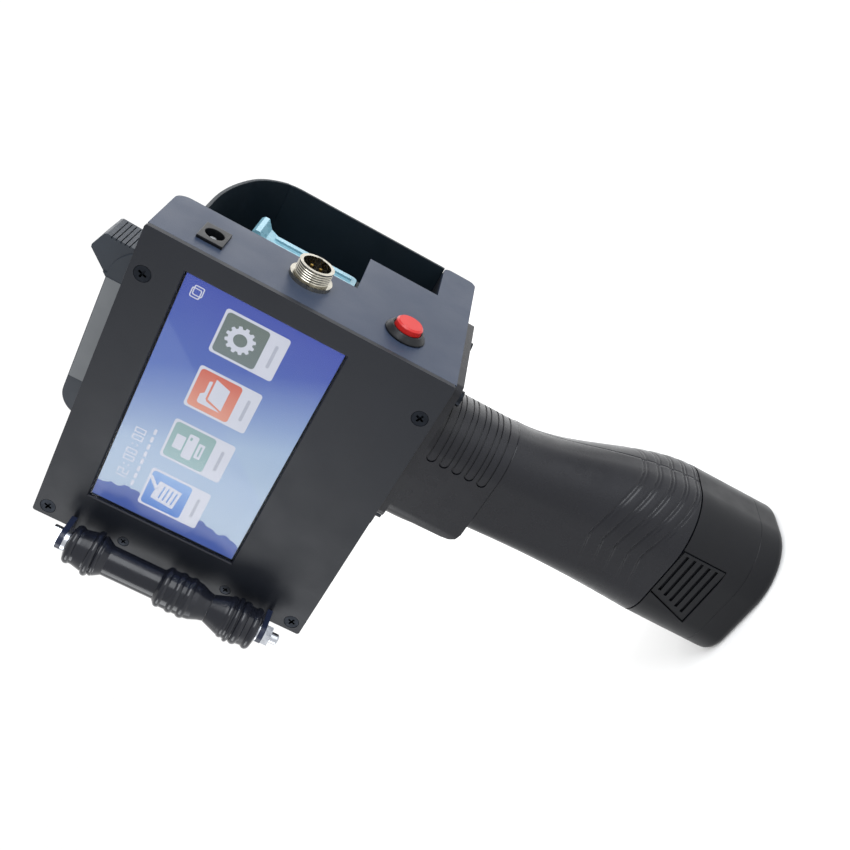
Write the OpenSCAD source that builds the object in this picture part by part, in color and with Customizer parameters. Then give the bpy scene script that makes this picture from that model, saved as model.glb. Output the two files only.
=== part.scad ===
// Handheld date code inkjet printer: display housing, cartridge bay, guide rollers, grip and battery.
// Origin: centre of the battery's base. +Z runs up the grip, +X to the rear, -Y is the screen side.

/* [Display housing] */
// Length of the screen panel, front to rear
panel_length = 121.3; // [119:0.1:123]
// Height of the screen panel
panel_height = 105.3; // [104:0.1:108]
// Thickness of the screen panel
panel_thickness = 2; // [1.5:0.1:2]
// Corner radius of the screen panel
panel_corner = 1; // [0.5:0.5:2]
// Depth of the display housing, screen face to back wall
box_depth = 30.7; // [30:0.1:32]
// Sheet thickness of the housing walls
sheet = 1.5; // [1:0.1:2]
// Thickness of the rear plate
rear_thickness = 2; // [1.5:0.1:2.5]

/* [Placement] */
// Distance from the grip's axis forward to the panel's front edge
panel_reach = 94.6; // [93:0.1:96]
// Distance from the grip's centre plane to the screen face
screen_offset = 27; // [26.5:0.1:28]
// Height of the housing's underside above the battery base
housing_base = 130.2; // [130:0.1:134]

/* [Screen] */
// Width of the lit screen area
screen_w = 95.04; // [94:0.01:96]
// Height of the lit screen area
screen_h = 53.86; // [53:0.01:55]
// Distance from the panel's front edge to the lit area
screen_inset = 17.6; // [17:0.1:19]
// Distance from the panel's top edge down to the lit area
screen_drop = 16.5; // [16:0.1:18]

/* [Cartridge bay] */
// Depth of the lower tray, screen face to far wall
tray_depth = 84.6; // [84.6:0.1:86]
// Height of the lower tray
tray_height = 13.4; // [13:0.1:14]
// Depth of the bay shell, screen face to far wall
bay_depth = 84.3; // [83:0.1:84.3]
// Height of the bay shell's roof below the panel's top edge
bay_drop = 9.3; // [9:0.1:10]
// Radius of the bay shell's rounded edge, next to its far wall
bay_radius = 15; // [13:0.5:16]
// Wall of the bay shell
bay_wall = 1.2; // [1:0.1:1.6]
// Height of the cartridge
cartridge_h = 39.5; // [38:0.5:41]
// Thickness of the cartridge
cartridge_t = 22.7; // [21:0.1:23]

/* [Latch lever] */
// Width of the latch lever across the housing
lever_width = 15.8; // [14:0.1:16]
// Rise of the latch lever above the panel's top edge
lever_rise = 11.9; // [11:0.1:13]

/* [Guide rollers] */
// Diameter of the roller axle
axle_d = 4; // [3.5:0.1:4.5]
// Distance from the screen face out to the axle
axle_standoff = 10.1; // [10:0.1:11]
// Largest radius of a roller
roller_r = 8.4; // [7.8:0.1:8.6]

/* [Grip] */
// Distance from the grip's centre plane to the adapter's face on the screen side
neck_half = 25; // [24.8:0.1:25.2]
// Distance from the grip's centre plane to the adapter's far face
neck_far = 19; // [18.8:0.1:19.2]
// Wall of the grip shells
grip_wall = 2.6; // [2:0.1:3]
// Wall of the grip adapter
neck_wall = 4; // [3.5:0.1:4.5]
// Length of the battery pack below the grip
battery_h = 34.4; // [33:0.1:35]
// Width of the battery pack front to rear
battery_x = 51; // [50:0.1:52]
// Width of the battery pack across the housing
battery_y = 50; // [48:0.1:51]
// Radius of the battery pack's front corners
battery_r = 13; // [10:0.5:15]
// Radius of the battery pack's rounded back
battery_back_r = 20.5; // [18:0.5:21]
// Height of the battery's end cap
end_cap_h = 10.2; // [9:0.1:11]

/* [Hidden] */
$fn = 64;

// Outer planes of the housing
front_x = -panel_reach;
rear_x = front_x + panel_length;
screen_y = -screen_offset;
back_y = screen_y + box_depth;
far_y = screen_y + tray_depth;
base_z = housing_base;
top_z = base_z + panel_height;
tray_z = base_z + tray_height;
bay_top = top_z - bay_drop;
bay_far = screen_y + bay_depth;
inner_rear = rear_x - rear_thickness;
behind_panel = screen_y + panel_thickness;

// Rear plate: the tab below the cartridge opening
tab_y = back_y + 27;
tab_z = tray_z + 27.1;

// Lit area of the screen
lit_x = front_x + screen_inset;
lit_z = top_z - screen_drop - screen_h;
window_gap = 0.6;
glass_gap = 0.1;
glass_y = screen_y + 0.5;
glass_t = 0.9;
picture_y = glass_y + glass_t + 0.25;

// Screen panel screws
m3_head = 5.7;
m3_d = 3;
screw_inset_front = 4.3;
screw_inset_rear = 15.6;
screw_inset_z = 4.7;
panel_screw_x = [front_x + screw_inset_front, rear_x - screw_inset_rear];
panel_screw_z = [base_z + screw_inset_z, top_z - screw_inset_z];
m25_head = 4.2;
m25_d = 2.5;
bracket_screw_x = front_x + 4.5;
bracket_screw_z = [top_z - 33.5, top_z - 73.7];

// Guide rollers
axle_x = front_x + 3;
axle_y = screen_y - axle_standoff;
ear_top = top_z - 14.0;
ear_low = top_z - 92.6;
ear_r = 3.7;
bracket_t = 2;
top_washer_t = 1.4;
low_washer_t = 0.5;
bolt_head_t = 3;
nut_t = 2.4;
roller_clear = 0.08;
roller_gap = 0.12;
roller_split = top_z - 71;
roller_top = ear_top - bracket_t - top_washer_t - 0.3;
roller_bottom = ear_low + bracket_t + low_washer_t + 0.15;

// Rear plate fittings
jack_y = screen_y + 13.65;
jack_z = top_z - 17.9;
connector_y = screen_y + 19.2;
connector_z = top_z - 49.8;
button_y = screen_y + 17;
button_z = top_z - 84.5;
fitting_d = 12;
barrel_d = 11.6;
cap_d = 9.4;
cap_travel = 1.6;

// Cartridge
cart_y0 = back_y + 0.7;
cart_z0 = tab_z + 0.8;
cart_rear = rear_x - 7.7;
cart_mid_y = cart_y0 + cartridge_t / 2;
cart_mid_z = cart_z0 + cartridge_h / 2;
snout_h = 24;
snout_t = 16;
snout_start = front_x + 16;
rib_depth = 0.9;
face_t = 2.3;

// Latch lever, hinged at its front end
hinge_x = front_x + 30.5;
lever_y0 = back_y + 0.6;
lever_y1 = lever_y0 + lever_width;
lever_under = bay_top + 2.5;
lever_top = top_z + lever_rise;
nose_r = 9;
tab_pitch = 1.65;
hinge_z = lever_top - nose_r;
hinge_pin_d = 4;
post_y0 = lever_y0 + 3.4;
post_y1 = post_y0 + 5.6;

// Grip
grip_top = base_z - 29.2;
neck_back = 14.5;
neck_front = -31.5;
neck_face = neck_front + 3.1;
near_r = 13.5;
far_r = neck_far + neck_half - near_r - 0.5;
flange_t = 2.6;
grip_seam = 0.2;
half_battery = battery_x / 2;
trigger_z = grip_top + 14.5;
trigger_h = 17;
trigger_w = 13;
stem_x = 31;
stem_y = 31;
stem_r = 8;
stem_h = 24;
cell_d = 13.5;
cell_h = 48;
latch_depth = 3;
latch_travel = 1.2;
trigger_travel = 3;

// Rounded rectangle from [x0, y0] to [x1, y1]
module rounded_box(x0, y0, x1, y1, r) {
    translate([x0 + r, y0]) square([x1 - x0 - 2 * r, y1 - y0]);
    translate([x0, y0 + r]) square([x1 - x0, y1 - y0 - 2 * r]);
    for (x = [x0 + r, x1 - r], y = [y0 + r, y1 - r]) translate([x, y]) circle(r);
}

// Extrudes an X-Z outline along Y
module along_y(y0, y1) {
    translate([0, y1, 0]) rotate([90, 0, 0]) linear_extrude(y1 - y0) children();
}

// Extrudes a Y-Z outline along X
module along_x(x0, x1) {
    translate([x0, 0, 0]) rotate([90, 0, 90]) linear_extrude(x1 - x0) children();
}

module block(low, high) {
    translate(low) cube(high - low);
}

module rod_x(x0, x1, y, z, d) {
    translate([x0, y, z]) rotate([0, 90, 0]) cylinder(h = x1 - x0, d = d);
}

module rod_y(x, y0, y1, z, d) {
    translate([x, y0, z]) rotate([-90, 0, 0]) cylinder(h = y1 - y0, d = d);
}

module rod_z(x, y, z0, z1, d) {
    translate([x, y, z0]) cylinder(h = z1 - z0, d = d);
}

module hex_x(x0, x1, y, z, across) {
    translate([x0, y, z]) rotate([0, 90, 0]) cylinder(h = x1 - x0, d = across / cos(30), $fn = 6);
}

// Countersunk screw lying along +Y with its flat head at y
module countersunk(x, y, z, head, d, length) {
    head_t = (head - d) / 2;
    difference() {
        translate([x, y, z]) rotate([-90, 0, 0]) rotate_extrude() polygon([
            [0, 0], [head / 2 - 0.15, 0], [head / 2 - 0.15, 0.25], [d / 2, 0.25 + head_t],
            [d / 2, length], [0, length]]);
        cross = head * 0.52;
        for (a = [0, 90]) translate([x, y, z]) rotate([0, a + 20, 0])
            cube([cross, head * 0.42, head * 0.13], center = true);
    }
}

// Hole that fits a countersunk screw
module countersink(x, y, z, head, d, depth) {
    head_t = (head - d) / 2;
    translate([x, y, z]) rotate([-90, 0, 0]) rotate_extrude() polygon([
        [0, -1], [head / 2, -1], [head / 2, 0.25], [d / 2 + 0.1, 0.35 + head_t],
        [d / 2 + 0.1, depth], [0, depth]]);
}

module front_panel() {
    bevel = 0.4;
    color("#3d4046") difference() {
        along_y(screen_y, behind_panel) rounded_box(front_x, base_z, rear_x, top_z, panel_corner);
        block([lit_x - window_gap, screen_y - 1, lit_z - window_gap],
            [lit_x + screen_w + window_gap, behind_panel + 1, lit_z + screen_h + window_gap]);
        window_bevel(bevel);
        for (x = panel_screw_x, z = panel_screw_z)
            countersink(x, screen_y, z, m3_head, m3_d, 4);
        for (z = bracket_screw_z)
            countersink(bracket_screw_x, screen_y, z, m25_head, m25_d, 4);
    }
}

// Sloped edge all round the window, as the overlap of two trapezoid bars
module window_bevel(bevel) {
    wide = window_gap + bevel;
    y_in = screen_y + bevel;
    y_out = screen_y - bevel;
    x0 = lit_x - wide;
    x1 = lit_x + screen_w + wide;
    z0 = lit_z - wide;
    z1 = lit_z + screen_h + wide;
    intersection() {
        translate([0, 0, z0 - bevel]) linear_extrude(z1 - z0 + 2 * bevel) polygon([
            [x0 - bevel, y_out], [x1 + bevel, y_out], [x1 - bevel, y_in], [x0 + bevel, y_in]]);
        along_x(x0 - bevel, x1 + bevel) polygon([
            [y_out, z0 - bevel], [y_in, z0 + bevel], [y_in, z1 - bevel], [y_out, z1 + bevel]]);
    }
}

module display_housing() {
    color("#34373c") difference() {
        block([front_x + 0.4, behind_panel, base_z], [inner_rear, back_y, top_z - 0.3]);
        block([front_x + sheet, behind_panel - 1, base_z + sheet],
            [inner_rear + 1, back_y - sheet, top_z - sheet]);
        // notches that let the roller bracket's flange pass behind the panel
        block([front_x - 1, behind_panel - 1, ear_low - 2],
            [front_x + sheet + 1, behind_panel + sheet + 0.2, ear_top + 2]);
        // window to the cartridge's contact side
        block([snout_start - 8, back_y - sheet - 1, cart_mid_z - 9],
            [snout_start + 6, back_y + 1, cart_mid_z + 9]);
        for (p = flange_screws_at) rod_z(p[0], -p[1], base_z - 1, base_z + sheet + 1, m3_d);
        // cable pass into the grip
        rod_z(-14, -12, base_z - 1, base_z + sheet + 1, 10);
    }
}

module rear_outline() {
    r = 3;
    corner = 4.5;
    difference() {
        union() {
            polygon([[behind_panel, base_z], [back_y, base_z], [back_y, top_z - corner],
                [back_y - corner, top_z - 0.3], [behind_panel, top_z - 0.3]]);
            translate([back_y - corner, top_z - 0.3 - corner]) circle(corner);
            translate([back_y - 1, base_z]) square([tab_y - back_y + 1, tab_z - base_z]);
            translate([tab_y - 1, base_z]) square([far_y - tab_y + 1 - r, tray_height]);
            translate([tab_y, base_z + r]) square([far_y - tab_y, tray_height - 2 * r]);
            for (z = [base_z + r, tray_z - r]) translate([far_y - r, z]) circle(r);
        }
        translate([jack_y - 5.15, jack_z - 3.9]) square([10.3, 7.8]);
        translate([connector_y, connector_z]) circle(d = barrel_d + 0.3);
        translate([button_y, button_z]) circle(d = fitting_d + 0.3);
    }
}

module rear_plate() {
    color("#6d7482") along_x(inner_rear, rear_x) rear_outline();
}

module base_tray() {
    color("#34373c") difference() {
        block([front_x + 0.4, back_y, base_z], [inner_rear, far_y - 0.3, tray_z]);
        block([front_x + sheet, back_y - 1, base_z + sheet],
            [inner_rear + 1, far_y - sheet, tray_z - sheet]);
        for (p = flange_screws_at) rod_z(p[0], p[1], base_z - 1, base_z + sheet + 1, m3_d);
    }
}

// Direction in the Y-Z plane, turned by a from straight up towards the far wall
function lean(a) = [sin(a), cos(a)];

// Section of the bay, grown inwards by inset and past its open sides by reach: its far upper
// edge is rounded by three arcs that run into each other
module bay_outline(inset, reach) {
    radii = [90, 28, bay_radius];
    turns = [20, 48];
    wide = (radii[0] - radii[1]) * lean(turns[0]);
    tight = (radii[1] - radii[2]) * lean(turns[1]);
    c2 = [bay_far - radii[2], bay_top - radii[0] + wide[1] + tight[1]];
    c1 = c2 - tight;
    c0 = c1 - wide;
    y0 = back_y - reach;
    z0 = tray_z - reach;
    translate([y0, z0]) square([c0[0] - y0, bay_top - inset - z0]);
    translate([y0, z0]) square([bay_far - inset - y0, c2[1] - z0]);
    translate(c2) circle(radii[2] - inset, $fn = 96);
    intersection() {
        translate(c1) circle(radii[1] - inset, $fn = 96);
        polygon([c1 - [9, 9], c2 + [0, -9], c2 + 60 * lean(turns[1]), c1 + 60 * lean(turns[0])]);
    }
    intersection() {
        translate(c0) circle(radii[0] - inset, $fn = 96);
        polygon([[c0[0] - 1, z0 + 6], [c1[0], z0 + 6], c1, c1 + 60 * lean(turns[0]),
            [c0[0] - 1, bay_top + 9]]);
    }
}

module bay_shell() {
    color("#1b1d20") difference() {
        along_x(front_x + face_t, rear_x) bay_outline(0, 0);
        along_x(front_x + face_t - 1, rear_x + 1) bay_outline(bay_wall, 1);
        block([inner_rear, back_y - 1, tray_z - 1], [rear_x + 1, tab_y + 0.2, tab_z + 0.2]);
    }
}

module print_face() {
    color("#26282c") difference() {
        along_x(front_x + 0.2, front_x + face_t) bay_outline(0, 0);
        block([front_x - 1, cart_mid_y - snout_t / 2 - 0.6, cart_mid_z - snout_h / 2 - 0.6],
            [front_x + face_t + 1, cart_mid_y + snout_t / 2 + 0.6, cart_mid_z + snout_h / 2 + 0.6]);
    }
}

// Box that follows the lit area, grown by margin on each side
module screen_block(margin, y0, y1) {
    block([lit_x - margin, y0, lit_z - margin],
        [lit_x + screen_w + margin, y1, lit_z + screen_h + margin]);
}

module touch_glass() {
    color("#20242c") screen_block(window_gap - glass_gap, glass_y, glass_y + glass_t);
}

// Display module: a rim that carries the glass, the lit face, and the body behind the panel
module lcd_module() {
    rim = window_gap - glass_gap;
    body_x = 5.1;
    body_z = 6.6;
    body_t = 3;
    color("#5b78c8") union() {
        difference() {
            screen_block(rim, glass_y + glass_t, picture_y + 0.1);
            screen_block(0, glass_y, picture_y + 1);
        }
        screen_block(rim, picture_y, behind_panel + 0.1);
        block([lit_x - body_x, behind_panel, lit_z - body_z],
            [lit_x + screen_w + body_x, behind_panel + body_t, lit_z + screen_h + body_z]);
        block([lit_x + 12, behind_panel + body_t - 0.1, lit_z + 6],
            [lit_x + 42, behind_panel + body_t + 1.4, lit_z + 24]);
    }
}

board_y = back_y - 13;
board_spacer_x = [front_x + 14, inner_rear - 34];
board_spacer_z = [base_z + 20, top_z - 20];

module main_board() {
    color("#1f5c3a") difference() {
        block([front_x + 9, board_y, base_z + 15], [inner_rear - 13, board_y + 1.6, top_z - 15]);
        // notch round the push button's switch
        block([inner_rear - 26, board_y - 1, base_z + 14],
            [inner_rear - 12, board_y + 3, button_z + 9]);
        for (x = board_spacer_x, z = board_spacer_z) rod_y(x, board_y - 1, board_y + 3, z, 3.2);
    }
}

module board_chips() {
    chips = [[24, 40, 14, 14, 1.6], [46, 52, 10, 7, 1.4], [46, 30, 12, 9, 2.2],
        [66, 44, 8, 12, 3.4], [28, 64, 18, 6, 4.2], [72, 24, 9, 9, 5]];
    color("#15161a") for (c = chips) translate([front_x + c[0], board_y - c[4], base_z + c[1]])
        cube([c[2], c[4], c[3]]);
}

module board_spacers() {
    color("#c9a64a") for (x = board_spacer_x, z = board_spacer_z) difference() {
        translate([x, board_y + 1.6, z]) rotate([-90, 0, 0])
            cylinder(h = back_y - sheet - board_y - 1.6, d = 5.5 / cos(30), $fn = 6);
        rod_y(x, board_y, board_y + 8, z, 2.5);
    }
}

module panel_posts() {
    color("#9a9da3") for (x = panel_screw_x, z = panel_screw_z) difference() {
        rod_y(x, behind_panel, back_y - sheet, z, 5.4);
        rod_y(x, behind_panel - 1, behind_panel + 9, z, m3_d + 0.1);
    }
}

module panel_screws() {
    color("#25272b") for (x = panel_screw_x, z = panel_screw_z)
        countersunk(x, screen_y + 0.1, z, m3_head, m3_d, 9);
}

module bracket_screws() {
    color("#25272b") for (z = bracket_screw_z)
        countersunk(bracket_screw_x, screen_y + 0.1, z, m25_head, m25_d, 5);
}

// Ear of the roller bracket: from the flange behind the panel, round the panel's
// front edge and out to the axle
module ear_outline() {
    difference() {
        union() {
            polygon([[front_x - 5.2, behind_panel + sheet], [front_x - 0.5, behind_panel + sheet],
                [front_x - 0.5, screen_y - 0.8], [axle_x + ear_r * 0.9, screen_y - 1.2],
                [axle_x + ear_r, axle_y], [axle_x - ear_r, axle_y]]);
            translate([axle_x, axle_y]) circle(ear_r);
        }
        translate([axle_x, axle_y]) circle(d = axle_d + 0.1);
    }
}

module roller_bracket() {
    color("#22293c") union() {
        for (z = [ear_top - bracket_t, ear_low])
            translate([0, 0, z]) linear_extrude(bracket_t) ear_outline();
        difference() {
            block([front_x - 5.2, behind_panel, ear_low], [front_x - 0.5, behind_panel + sheet, ear_top]);
            block([front_x - 6, behind_panel - 1, ear_low + 12],
                [front_x - 2.2, behind_panel + sheet + 1, ear_top - 12]);
        }
        difference() {
            block([front_x - 0.6, behind_panel, ear_low], [front_x + 8, behind_panel + sheet, ear_top]);
            for (z = bracket_screw_z)
                rod_y(bracket_screw_x, behind_panel - 1, behind_panel + 3, z, m25_d + 0.1);
        }
    }
}

// Long bolt: hexagon head on the upper ear, thread end below the lower nut
module roller_axle() {
    low = ear_low - nut_t - 3.2;
    chamfer = 0.5;
    color("#b9bcc2") difference() {
        union() {
            rod_z(axle_x, axle_y, low, ear_top + 0.5, axle_d);
            translate([axle_x, axle_y, ear_top]) cylinder(h = bolt_head_t, d = 6.8 / cos(30), $fn = 6);
        }
        translate([axle_x, axle_y, low]) rotate_extrude() polygon([[axle_d / 2 - chamfer, 0],
            [axle_d, -chamfer - axle_d / 2], [axle_d, chamfer + axle_d / 2]]);
    }
}

module axle_nut() {
    color("#a9adb5") difference() {
        translate([axle_x, axle_y, ear_low - nut_t]) rotate([0, 0, 14])
            cylinder(h = nut_t, d = 6.8 / cos(30), $fn = 6);
        rod_z(axle_x, axle_y, ear_low - nut_t - 1, ear_low + 1, axle_d + 0.04);
    }
}

module axle_washers() {
    color("#c4c7cc") for (w = [[ear_low + bracket_t, low_washer_t],
        [ear_top - bracket_t - top_washer_t, top_washer_t]]) difference() {
        rod_z(axle_x, axle_y, w[0], w[0] + w[1], 7.4);
        rod_z(axle_x, axle_y, w[0] - 1, w[0] + w[1] + 1, axle_d + 0.04);
    }
}

// Turned profile of a roller from z0 up: rings are [centre, half length, radius] beads on a
// core, and core is a list of [height, radius] points
module turned_roller(z0, core, rings) {
    bore_r = axle_d / 2 + roller_clear;
    last = core[len(core) - 1][0];
    color("#17181c") translate([axle_x, axle_y, z0]) difference() {
        union() {
            rotate_extrude() polygon(concat([[0, core[0][0]]],
                [for (p = core) [p[1], p[0]]], [[0, last]]));
            for (ring = rings) translate([0, 0, ring[0]]) rotate_extrude() intersection() {
                translate([ring[2] - ring[1], 0]) circle(ring[1]);
                translate([0, -ring[1]]) square([ring[2] + 1, 2 * ring[1]]);
            }
        }
        translate([0, 0, core[0][0] - 1]) cylinder(h = last - core[0][0] + 2, r = bore_r);
    }
}

module upper_roller() {
    z0 = roller_split + roller_gap;
    length = roller_top - z0;
    r = roller_r;
    waist = r * 0.66;
    turned_roller(z0, [[0, r * 0.6], [1.8, r * 0.65], [4.8, r * 0.79], [7, r * 0.83],
        [18.1, r * 0.83], [19.3, waist], [length - 14.6, waist], [length - 12.2, r * 0.84],
        [length - 7.4, r * 0.87], [length - 4, r * 0.78], [length - 0.6, r * 0.78], [length, r * 0.6]],
        [[8.2, 2, r * 0.9], [12.4, 1.9, r * 0.9], [17, 1.5, r * 0.89],
        [length - 11.2, 0.9, r * 0.89], [length - 9.1, 1.3, r], [length - 1.9, 1.5, r * 0.85]]);
}

module lower_roller() {
    length = roller_split - roller_bottom;
    r = roller_r;
    turned_roller(roller_bottom, [[0, r * 0.62], [0.7, r * 0.8], [4.8, r * 0.86],
        [11.8, r * 0.9], [13.6, r * 0.83], [length, r * 0.61]],
        [[1.9, 1.6, r * 0.92], [6.6, 1.8, r * 0.96], [9.2, 0.9, r], [11.6, 1.4, r * 0.93]]);
}

module dc_jack() {
    color("#1a1b1e") difference() {
        union() {
            block([rear_x, jack_y - 5.65, jack_z - 4.35], [rear_x + 1.1, jack_y + 5.65, jack_z + 4.35]);
            block([inner_rear - 9.5, jack_y - 5, jack_z - 3.75],
                [rear_x + 0.5, jack_y + 5, jack_z + 3.75]);
        }
        rod_x(rear_x - 8.5, rear_x + 2, jack_y, jack_z, 6.4);
    }
}

module jack_pin() {
    color("#d9dadc") rod_x(rear_x - 8.5, rear_x - 0.4, jack_y, jack_z, 2.1);
}

module connector_shell() {
    flange = 1.4;
    height = 6;
    color("#c8c6c0") translate([rear_x, connector_y, connector_z]) rotate([0, 90, 0]) difference() {
        union() {
            cylinder(h = flange, d = 14.6);
            cylinder(h = height, d = fitting_d);
            translate([0, 0, -9]) cylinder(h = 10, d = barrel_d);
        }
        translate([0, 0, -1.5]) cylinder(h = 20, d = 9.6);
        translate([0, 0, -10]) cylinder(h = 20, d = 7);
        for (z = [flange + 0.4 : 0.8 : height - 1]) translate([0, 0, z]) rotate_extrude()
            polygon([[fitting_d / 2 + 0.1, -0.1], [fitting_d / 2 - 0.25, 0.25],
                [fitting_d / 2 + 0.1, 0.6]]);
        translate([0, 4.6, height / 2]) cube([1.6, 1.2, height], center = true);
    }
}

module connector_insert() {
    color("#191a1c") difference() {
        union() {
            rod_x(rear_x - 1.5, rear_x + 1.5, connector_y, connector_z, 9.5);
            rod_x(rear_x - 8, rear_x - 1.4, connector_y, connector_z, 6.9);
        }
        for (a = [45 : 90 : 315])
            rod_x(rear_x - 9, rear_x + 3, connector_y + 2.2 * cos(a), connector_z + 2.2 * sin(a), 1.1);
    }
}

module connector_pins() {
    color("#d8b765") for (a = [45 : 90 : 315])
        rod_x(rear_x - 11, rear_x + 4.4, connector_y + 2.2 * cos(a), connector_z + 2.2 * sin(a), 1);
}

module connector_nut() {
    color("#c8c6c0") difference() {
        hex_x(inner_rear - 3, inner_rear, connector_y, connector_z, 14.5);
        rod_x(inner_rear - 4, inner_rear + 1, connector_y, connector_z, barrel_d + 0.06);
    }
}

module button_bezel() {
    color("#1d1f22") translate([rear_x, button_y, button_z]) rotate([0, 90, 0]) difference() {
        union() {
            rotate_extrude() polygon([[0, 0], [7.1, 0], [7.1, 0.6], [5.7, 2.5], [0, 2.5]]);
            translate([0, 0, -11]) cylinder(h = 12, d = fitting_d);
        }
        translate([0, 0, -9]) cylinder(h = 15, d = cap_d + 0.5);
        translate([0, 0, -12]) cylinder(h = 5, d = 5);
    }
}

module button_nut() {
    color("#c8c6c0") difference() {
        hex_x(inner_rear - 2.4, inner_rear, button_y, button_z, 14);
        rod_x(inner_rear - 3, inner_rear + 1, button_y, button_z, fitting_d + 0.06);
    }
}

module button_switch() {
    color("#2a2c30") union() {
        rod_x(rear_x - 19, rear_x - 11, button_y, button_z, 11);
        for (y = [-2.6, 2.6]) block([rear_x - 24, button_y + y - 0.4, button_z - 1],
            [rear_x - 18.9, button_y + y + 0.4, button_z + 1]);
    }
}

module button_cap() {
    crown = 0.6;
    color("#e0322c") translate([rear_x, button_y, button_z]) rotate([0, 90, 0]) rotate_extrude()
        polygon([[0, -9 + cap_travel + 0.6], [cap_d / 2 - 1.2, -9 + cap_travel + 0.6],
            [cap_d / 2 - 1.2, -3], [cap_d / 2, -2.4], [cap_d / 2, 4.6 - crown],
            [cap_d / 2 - crown, 4.6], [0, 4.6]]);
}

module hinge_post() {
    post_w = 9;
    color("#1b1d20") difference() {
        union() {
            block([hinge_x - post_w / 2, post_y0, bay_top], [hinge_x + post_w / 2, post_y1, hinge_z]);
            rod_y(hinge_x, post_y0, post_y1, hinge_z, post_w);
        }
        rod_y(hinge_x, post_y0 - 1, post_y1 + 1, hinge_z, hinge_pin_d + 0.02);
    }
}

module hinge_pin() {
    color("#b9bcc2") rod_y(hinge_x, lever_y0 + 0.6, lever_y1 - 0.6, hinge_z, hinge_pin_d);
}

// Side outline of the latch lever: rounded nose round the hinge, flat top, and a thumb tab
// that rises to a ridge at the rear
module lever_outline() {
    tab_top = [hinge_x + 64.5, lever_top + 4.6];
    tab_foot = [hinge_x + 63.6, lever_under];
    translate([hinge_x, hinge_z]) circle(nose_r);
    translate([hinge_x, lever_under + 4]) square([50.6, lever_top - lever_under - 4]);
    polygon([[hinge_x + 42, bay_top + 0.3], [hinge_x + 50, bay_top + 0.3],
        [hinge_x + 54, lever_under], tab_foot, tab_top, [hinge_x + 64, lever_top + 5.4],
        [hinge_x + 58.3, lever_top + 8.1], [hinge_x + 57.2, lever_top + 8],
        [hinge_x + 49.6, lever_top], [hinge_x + 42, lever_top]]);
}

// Shallow step round the lever's rounded end, where the thumb tab starts
module lever_step() {
    r = 14;
    x = hinge_x + 51.1;
    difference() {
        translate([x, lever_under - 1]) square([20, 30]);
        translate([x, lever_top - r]) circle(r);
    }
}

module latch_lever() {
    hollow = 2.2;
    color("#5b6069") difference() {
        along_y(lever_y0, lever_y1) lever_outline();
        block([hinge_x + 12, lever_y0 + hollow, bay_top],
            [hinge_x + 40, lever_y1 - hollow, lever_top - hollow]);
        block([hinge_x - nose_r - 1, post_y0 - 0.3, bay_top],
            [hinge_x + 6, post_y1 + 0.3, lever_top + 1]);
        rod_y(hinge_x, lever_y0 + 0.5, lever_y1 - 0.5, hinge_z, hinge_pin_d + 0.1);
        along_y(lever_y0 - 1, lever_y0 + 0.5) lever_step();
        for (k = [1 : 9]) block([hinge_x + 63.5, lever_y0 - 1, lever_top + 4.2 - tab_pitch * k],
            [hinge_x + 66, lever_y1 - 0.8, lever_top + 4.5 - tab_pitch * k]);
    }
}

module latch_label() {
    color("#a7aca8") block([hinge_x + 6.1, lever_y0 - 0.2, lever_top - 9.6],
        [hinge_x + 49.8, lever_y0, lever_top - 0.3]);
}

// Finger tab at the cartridge's top rear edge, with a sloped root
module pull_tab_outline(z1) {
    tip = cart_rear + 4.6;
    polygon([[cart_rear - 2, z1 - 0.6], [tip - 1, z1 - 0.6], [tip, z1 - 1.6], [tip, z1 - 3.2],
        [tip - 1.4, z1 - 4.2], [cart_rear + 1.4, z1 - 5.4], [cart_rear, z1 - 9],
        [cart_rear - 2, z1 - 9]]);
}

module cartridge_body() {
    y1 = cart_y0 + cartridge_t;
    z1 = cart_z0 + cartridge_h;
    color("#7fd0e4") difference() {
        union() {
            along_x(snout_start, cart_rear) rounded_box(cart_y0, cart_z0, y1, z1, 2);
            along_x(front_x + 1.6, snout_start + 1) rounded_box(cart_mid_y - snout_t / 2,
                cart_mid_z - snout_h / 2, cart_mid_y + snout_t / 2, cart_mid_z + snout_h / 2, 1.5);
            for (k = [0 : 3]) block([cart_rear - 1, cart_y0 + 3.2 + 5 * k, cart_z0 + 2],
                [cart_rear + rib_depth, cart_y0 + 4.6 + 5 * k, z1 - 8]);
            along_y(y1 - 14, y1 - 0.6) pull_tab_outline(z1);
        }
        block([front_x + 1, cart_mid_y - 3.2, cart_mid_z - 8.2],
            [front_x + 2.2, cart_mid_y + 3.2, cart_mid_z + 8.2]);
    }
}

module cartridge_nozzle() {
    color("#c9a64a") block([front_x + 1.6, cart_mid_y - 3, cart_mid_z - 8],
        [front_x + 2.2, cart_mid_y + 3, cart_mid_z + 8]);
}

// Rails that guide the cartridge in from the rear
module cartridge_rails() {
    x0 = snout_start + 1;
    x1 = cart_rear - 2;
    y1 = cart_y0 + cartridge_t;
    color("#26282c") union() {
        block([x0, back_y, cart_z0 - 2.6], [x1, y1 + 2.4, cart_z0 - 0.4]);
        block([x0, y1 + 0.4, cart_z0 - 0.5], [x1, y1 + 2.4, cart_z0 + 5]);
        block([x0, y1 + 0.4, tray_z], [x1, y1 + 2.4, cart_z0 - 0.5]);
    }
}

module contact_block() {
    color("#2c5d8f") difference() {
        union() {
            block([snout_start - 7.5, back_y - 5, cart_mid_z - 8.5],
                [snout_start + 5.5, back_y + 0.2, cart_mid_z + 8.5]);
            block([snout_start - 10, back_y - 5, cart_mid_z - 11],
                [snout_start + 8, back_y - sheet, cart_mid_z + 11]);
        }
        for (k = [-3 : 3], x = [-4, 2])
            rod_y(snout_start + x, back_y - 6, back_y + 1, cart_mid_z + 2.2 * k, 1.05);
    }
}

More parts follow.
